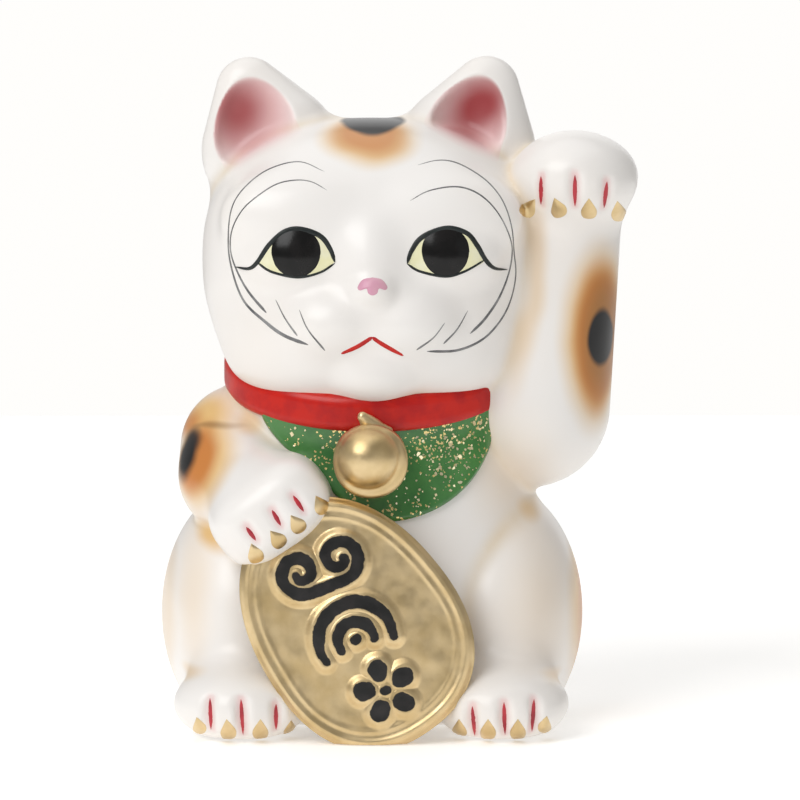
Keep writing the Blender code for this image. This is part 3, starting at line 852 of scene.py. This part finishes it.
def whisker_lines(fine):
    thin, thick = 0.45, 1.2
    lines = {
        "right_brow_outer": ([(-17.3, 198.6), (-26.6, 202.2), (-37.6, 199.5), (-46, 193.3), (-50.9, 186),
            (-52.4, 176), (-51.6, 165), (-47, 151.8), (-38.7, 143.6), (-32, 138.8),
            (-23.3, 135.4)],
            [0.25, thin, thin, thin, 0.6, 0.8, thick, 1.3]),
        "right_brow_inner": ([(-16.4, 191.8), (-21.9, 194.8), (-27.6, 195.5), (-34.6, 194.1), (-41.6, 189.8),
            (-47.3, 184.6), (-51, 177.5), (-51.6, 170), (-49.4, 162.7), (-45, 154.7),
            (-38.5, 147)],
            [0.25, thin, thin, thin, 0.5, 0.8, 1.1]),
        "left_brow_outer": ([(16.6, 201), (23.7, 202.7), (30, 202.1), (37, 198.7), (43.2, 193.9), (48, 187.3),
            (50.9, 178.5), (51.8, 169.3), (52.4, 160.5), (50.3, 151), (46.2, 143.4),
            (40, 137.2), (31, 133.4), (20, 133)],
            [0.25, thin, thin, thin, thin, 0.5, 0.7, 0.9, 1.0]),
        "left_brow_inner": ([(13.8, 187.9), (20.5, 191.5), (29.5, 193.1), (36.3, 191.8), (42.3, 187.8),
            (47.2, 181.5), (50.6, 173.6), (51, 167.4), (49.4, 160), (46, 152), (41, 144.7),
            (35.7, 139.4)],
            [0.3, 0.5, 0.6, thin, thin, 0.6, 0.9, 1.0]),
    }
    for name, (line, widths) in lines.items():
        stroke(name, line, widths, fine, 90)
    short = {
        "right_whisker_1": [(-35.2, 152), (-31.7, 145), (-27.2, 138.6)],
        "right_whisker_2": [(-26.6, 148.3), (-23.4, 141), (-17.1, 133.2)],
        "left_whisker_1": [(35, 148), (31, 141), (26, 135.7)],
        "left_whisker_2": [(26.6, 143.5), (22.4, 138), (16.2, 133.5)],
    }
    for name, line in short.items():
        stroke(name, line, [0.3, 0.5, 0.8], fine, 30)


def nose_and_mouth(pink, red):
    nose = [(0.2, 160), (3.6, 159.2), (5.6, 156.6), (4.8, 155.4), (2.6, 156), (1.9, 154.2), (0.2, 153.4),
            (-1.4, 154.2), (-2.1, 156), (-4.4, 155.2), (-5.3, 156.4), (-3.4, 159.2)]
    blob("nose", nose, pink, rise=0.35, rings=6, sides=60)
    stroke("mouth_right", [(-11.3, 132.1), (-6, 134.4), (-2.6, 136.4), (0.1, 138.2)], [0.9, 1.5, 1.6, 1.3],
           red, 40, 0.3)
    stroke("mouth_left", [(0, 138.2), (3, 136.1), (6.6, 134), (11.5, 131.4)], [1.3, 1.6, 1.5, 0.8], red,
           40, 0.3)


def teardrop(across, up, turn, size=1.0):
    """A claw: pointed at its top, round below."""
    c, s = math.cos(math.radians(turn)), math.sin(math.radians(turn))
    shape = [(0, 4.0), (1.5, 1.9), (2.9, -0.6), (2.3, -2.9), (0, -3.6), (-2.3, -2.9), (-2.9, -0.6),
             (-1.5, 1.9)]
    return [(across + size * (x * c - y * s), up + size * (x * s + y * c)) for x, y in shape]


def claws_and_slits(gold, red):
    for paw, places in CLAWS.items():
        for number, (across, up, turn) in enumerate(places, 1):
            slim = 0.85 if abs(across) > 60 and "foot" in paw else 1.0
            blob(f"{paw}_claw_{number}", teardrop(across, up, turn, slim), gold, rise=0.5,
                 sides=32)
    for paw, pairs in SLITS.items():
        for number, (start, end) in enumerate(pairs, 1):
            stroke(f"{paw}_slit_{number}", [start, end], [0.5, 1.4, 1.7, 1.3, 0.4], red, 24,
                   0.25)


# ---- collar, bib and bell
def collar(points):
    tilt = math.radians(SEAM_TILT)
    height = (points[:, 2] - SEAM_HEIGHT) * math.cos(tilt) - points[:, 1] * math.sin(tilt)
    band = egg(points, (0, 0, SEAM_HEIGHT), (53.8, 48.8, 900))
    hole = egg(points, (0, 0, SEAM_HEIGHT), (45, 40, 900))
    return smooth_max(smooth_max(np.abs(height) - COLLAR_DEPTH / 2, band, 4), -hole, 1)


def bib_outline(points):
    """The bib's oval, cut off along the lowered arm and under the collar."""
    oval_edge = egg(points, (2, -40, 115), (43, 900, 39), 2.1)
    along_arm = (BIB_CUT - points) @ np.array([0.66, 0.0, 0.75])
    tilt = math.radians(SEAM_TILT)
    under_collar = (points[:, 2] - SEAM_HEIGHT) * math.cos(tilt) - points[:, 1] * math.sin(tilt)
    return smooth_max(smooth_max(oval_edge, along_arm, 8), under_collar, 1)


BIB_CUT = np.array([-24.0, 0.0, 95.5])  # a point of its edge along the arm


def bib(points):
    cloth = smooth_max(torso(points) - 2.0, -torso(points) - 1.0, 0.5)
    outline = smooth_max(bib_outline(points), points[:, 1] + 4, 1)
    return smooth_max(cloth, outline, 1.6)


def collar_and_bib(red, green, gold):
    pitch = FINE * 0.8
    points, faces, normals = surface_net(collar, (-58, -54, 104), (58, 54, 150), pitch)
    new_piece("collar_band_enamel", points, faces, normals, None, ("collar_band",), red)
    points, faces, normals = surface_net(bib, (-46, -56, 68), (50, 0, 132), pitch)
    new_piece("bib_enamel", points, faces, normals, None, ("bib",), green)
    bib_flakes(gold)


def bib_flakes(gold):
    """Loose gold flakes pressed into the bib, in clumps, mostly on the wearer's left."""
    dice = np.random.default_rng(8)
    clumps = [((36, 104), 7, 60), ((28, 92), 6, 40), ((22, 84), 4, 22), ((34, 96), 6, 40), ((-12, 95), 3, 8),
              ((-30, 105), 4, 8), ((-20, 100), 6, 8), ((10, 79), 7, 18), ((18, 102), 5, 20),
              ((40, 109), 4, 22), ((-6, 81), 5, 8), ((26, 102), 12, 46)]
    marks = np.concatenate([dice.normal(centre, spread, (count, 2)) for centre, spread, count in clumps])
    places = pierce(marks, bib)
    fits = ((bib_outline(places) < -1.2) & (collar(places) > 0.6) & (bib(places) < 0.2)
            & (ceramic(places) > 0.5))
    places = places[fits]
    normals = unit(gradient(bib, places))
    points, faces = [], []
    for place, out in zip(places, normals):
        sides = dice.integers(4, 7)
        size = min(dice.lognormal(-0.8, 0.45), 1.2)
        tilt = unit((out + dice.normal(0, 0.18, 3))[None])[0]
        u = unit(np.cross(tilt, (0.3, 0.1, 1))[None])[0]
        w = np.cross(tilt, u)
        angles = math.tau * (np.arange(sides) + dice.uniform(-0.3, 0.3, sides)) / sides
        rim = [place + out * 0.12 + size * dice.uniform(0.6, 1.1) * (math.cos(a) * u + math.sin(a) * w)
               for a in angles]
        first = len(points)
        points += rim + [corner - out * 0.3 for corner in rim]
        top = [first + i for i in range(sides)]
        faces.append(top)
        faces.append([i + sides for i in reversed(top)])
        faces += [[top[i], top[i] + sides, top[(i + 1) % sides] + sides, top[(i + 1) % sides]]
                  for i in range(sides)]
    flakes = new_piece("bib_gold_flakes", points, faces, finish=gold)
    flakes.data.shade_flat()


BELL = np.array([-0.6, -55.5, 99.2])


def bell(points):
    """A ball settled into a soft, uneven rim."""
    rim = egg(points, BELL + (0.5, 1.2, -0.5), (12.8, 6.8, 12.4), 2.3)
    dome = egg(points, BELL + (-0.4, -2.4, 1.0), (11.0, 11.4, 10.8))
    lip = ring(points, BELL + (0.5, -2.4, -0.6), 11.2, 1.5)
    return smooth_min(smooth_min(rim, lip, 3), dome, 1.8)


def ring(points, centre, radius, thickness):
    """A torus facing -Y."""
    offset = points - np.array(centre)
    return np.hypot(np.hypot(offset[:, 0], offset[:, 2]) - radius, offset[:, 1]) - thickness


def bell_loop(points):
    """A drop leaning over, and a fold that runs down behind the ball."""
    drop = cone(points, (0.2, -53.5, 110.6), (-3.0, -55.0, 114.2), 3.0, 1.8)
    fold = cone(points, (-1, -53, 112), (6.4, -52.5, 109.2), 2.2, 1.3)
    return smooth_min(drop, fold, 2.0)


def bell_and_loop(gold):
    pitch = 0.42
    box = (BELL - 16, BELL + (16, 14, 15))
    points, faces, normals = surface_net(bell, *box, pitch)
    new_piece("bell", points, faces, normals, None, ("bell_body",), gold)
    points, faces, normals = surface_net(bell_loop, (-8, -60, 104), (10, -46, 119), pitch)
    new_piece("bell_hanger", points, faces, normals, None, ("bell_loop",), gold)


# ---- koban
COIN_CENTRE = np.array([-6.2, -62.0, 42.6])
COIN_RADII = (35.8, 46.6)
COIN_POWER, COIN_WIDER, COIN_TURN, COIN_LEAN, COIN_HALF = 2.25, 0.084, 35.2, 6.0, 4.0

# The coin's three ornaments, as brush strokes in its own plane: a cloud, a wave and a plum blossom.
# Each stroke is a line and its widths at even steps along it.
def cloud():
    """A cloud that curls both ways."""
    turns = np.linspace(0, 1, 15)
    angles, reach = -0.5 * math.pi + turns * 2.4 * math.pi, 7.8 - 5.8 * turns
    for side in (-1, 1):
        curl = [(side * (7.2 + r * math.cos(a)), r * math.sin(a) - 1.0) for a, r in zip(angles, reach)]
        yield [(0, -9.0), (side * 3.4, -9.0)] + curl, [4.2, 4.4, 4.6, 4.4, 4.0, 3.4]


def wave():
    """Two nested crests over a drop."""
    for radius, width in ((13.2, 4.8), (6.4, 4.4)):
        angles = np.radians(np.linspace(196, -16, 12))
        yield [(radius * math.cos(a), radius * math.sin(a)) for a in angles], [3.0, width, width, width, 3.0]
    yield [(-0.4, 0), (0.4, 0)], [3.4, 3.4]


def blossom():
    """Five round petals about a stud."""
    for petal in range(5):
        angle = math.radians(90 + 72 * petal)
        out = np.array([math.cos(angle), math.sin(angle)])
        yield [tuple(6.6 * out), tuple(8.0 * out)], [6.4, 6.8]
    yield [(-0.3, 0), (0.3, 0)], [3.2, 3.2]


ORNAMENTS = (((2.0, 24.0), cloud), ((-2.6, -5.6), wave), ((-4.4, -26.0), blossom))
ORNAMENT_TURN = -14.0


def ornament_strokes():
    """Each stroke's path and half widths, in the coin's plane."""
    c, s = math.cos(math.radians(ORNAMENT_TURN)), math.sin(math.radians(ORNAMENT_TURN))
    count = 40
    t = np.linspace(0, 1, count)
    for centre, strokes in ORNAMENTS:
        for line, widths in strokes():
            path = smooth_line([(centre[0] + x * c - y * s, centre[1] + x * s + y * c) for x, y in line],
                               count)
            yield path, np.interp(t, np.linspace(0, 1, len(widths)), widths) / 2


def stroke_distance(spots):
    """Distance from spots of the coin's plane to the nearest edge of a brush stroke, negative inside."""
    best = np.full(len(spots), 50.0)
    for path, half in ornament_strokes():
        for i in range(len(path) - 1):
            along = path[i + 1] - path[i]
            share = np.clip((spots - path[i]) @ along / (along @ along), 0, 1)
            gap = np.linalg.norm(spots - path[i] - share[:, None] * along, axis=1)
            best = np.minimum(best, gap - (half[i] + share * (half[i + 1] - half[i])))
    return best


def smooth_step(value):
    value = np.clip(value, 0, 1)
    return value * value * (3 - 2 * value)


def coin_relief(spots, inset, away):
    """Height of the coin's face: a rounded edge, two faint rims, a crowned field and swollen ornaments."""
    edge = -2.2 * (1 - smooth_step(inset / 2.0))
    rims = 0.6 * np.exp(-(((inset - 3.0) / 1.0) ** 2)) + 0.3 * np.exp(-(((inset - 6.2) / 0.9) ** 2))
    field = 0.8 * smooth_step((inset - 7) / 22)
    swell = 1.5 * smooth_step((3.2 - away) / 3.0) * smooth_step((inset - 4) / 2)
    ripple = (0.09 * np.sin(spots[:, 0] * 0.5 + 1.6 * np.sin(spots[:, 1] * 0.23))
              * smooth_step((inset - 6) / 6))
    return edge + rims + field + swell + ripple


def coin_place(spots, height):
    """From the coin's plane, with height towards the viewer, to the cat's frame."""
    c, s = math.cos(math.radians(COIN_TURN)), math.sin(math.radians(COIN_TURN))
    x, z = spots[:, 0] * c - spots[:, 1] * s, spots[:, 0] * s + spots[:, 1] * c
    depth = -(COIN_HALF + height)
    lc, ls = math.cos(math.radians(COIN_LEAN)), math.sin(math.radians(COIN_LEAN))
    return COIN_CENTRE + np.stack([x, depth * lc + z * ls, z * lc - depth * ls], axis=1)


def coin_rim(count):
    angles = np.linspace(0, math.tau, count, endpoint=False)
    c, s = np.cos(angles), np.sin(angles)
    across = np.sign(c) * np.abs(c) ** (2 / COIN_POWER)
    up = np.sign(s) * np.abs(s) ** (2 / COIN_POWER)
    return np.stack([across * COIN_RADII[0] * (1 - COIN_WIDER * up), up * COIN_RADII[1]], axis=1)


def koban(finish):
    sides, rings = ((520, 150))
    rim = coin_rim(sides)
    reach = np.linalg.norm(rim, axis=1)
    shares = np.linspace(0.004, 1, rings)
    spots = (shares[:, None, None] * rim).reshape(-1, 2)
    inset = ((1 - shares)[:, None] * np.minimum(reach, 40)).reshape(-1)
    away = stroke_distance(spots)
    front = coin_place(spots, coin_relief(spots, inset, away))
    backs = []
    for share, height in ((1.0, -4.5), (0.985, -6.8), (0.94, -2 * COIN_HALF), (0.004, -2 * COIN_HALF)):
        backs.append(coin_place(rim * share, np.full(sides, height)))
    points = np.concatenate([front] + backs)
    rows = rings + len(backs)
    index = np.arange(rows * sides).reshape(rows, sides)
    after = np.roll(index, -1, axis=1)
    faces = np.stack([index[:-1], after[:-1], after[1:], index[1:]], axis=-1).reshape(-1, 4)[:, ::-1].tolist()
    faces.append(index[0].tolist())
    faces.append(index[-1][::-1].tolist())
    points[:, 2] = np.maximum(points[:, 2], 0.3)
    beyond = np.full(len(points) - len(away), 50.0)
    layers = {"stroke": np.concatenate([away, beyond])}
    new_piece("koban", points, faces, None, layers, ("koban_plaque",), finish)


# ---- stopper
def stopper():
    """The soft bung: a finger dimple and a moulded ring under its flange, and a plug that narrows upward."""
    profile = [(0.05, 2.8), (5.4, 2.8), (6.2, 2.65), (7.1, 1.9), (7.9, 1.6), (13.0, 1.6), (13.5, 1.95),
               (14.1, 1.95), (14.6, 1.6), (22.1, 1.6), (22.7, 1.8), (23.0, 2.3), (23.0, 3.0), (22.7, 3.5),
               (22.1, 3.7), (18.6, 3.7), (17.9, 3.9), (17.7, 4.5), (17.35, 9.8), (17.0, 11.3), (16.2, 12.5),
               (15.0, 13.0), (0.05, 13.0)]
    steps = 96
    angles = np.linspace(0, math.tau, steps, endpoint=False)
    points = np.array([(r * math.cos(a), r * math.sin(a), z) for r, z in profile for a in angles])
    index = np.arange(len(points)).reshape(len(profile), steps)
    after = np.roll(index, -1, axis=1)
    faces = np.stack([index[:-1], after[:-1], after[1:], index[1:]], axis=-1).reshape(-1, 4).tolist()
    faces += [index[0][::-1].tolist(), index[-1].tolist()]
    piece = new_piece("soft_stopper", points, faces, replaces=("base_stopper",),
                      finish=soft_rubber(), body="stopper")
    piece.data.set_sharp_from_angle(angle=math.radians(40))


camera_and_light()
floor()
glaze = white_glaze()
gold = gold_lustre()
red = enamel("red_enamel", (0.60, 0.016, 0.008), (0.46, 0.010, 0.010), 0.28, 0.05, 0.3)
slit_red = enamel("slit_red", (0.52, 0.03, 0.045), (0.36, 0.015, 0.03), 0.3)
ink = enamel("black_enamel", (0.004, 0.004, 0.004), (0.010, 0.009, 0.009), 0.22, 0.0, 0.28)
lid_ink = enamel("lid_enamel", (0.012, 0.016, 0.016), (0.03, 0.036, 0.036), 0.4, 0.0, 0.25)
grey_line = enamel("grey_liner", (0.10, 0.10, 0.105), (0.28, 0.28, 0.28), 0.4)
sclera = enamel("eye_yellow", (0.84, 0.81, 0.50), (0.87, 0.85, 0.62), 0.25)
nose_pink = enamel("nose_pink", (0.68, 0.33, 0.45), (0.74, 0.42, 0.50), 0.35)

ceramic_pieces(glaze)
eyes(ink, sclera, lid_ink)
whisker_lines(grey_line)
nose_and_mouth(nose_pink, red)
claws_and_slits(gold, slit_red)
collar_and_bib(red, green_glitter(), gold_lustre("gold_flake", (0.96, 0.88, 0.60), (0.86, 0.72, 0.40), 0.30))
bell_and_loop(gold)
koban(painted_gold())
stopper()
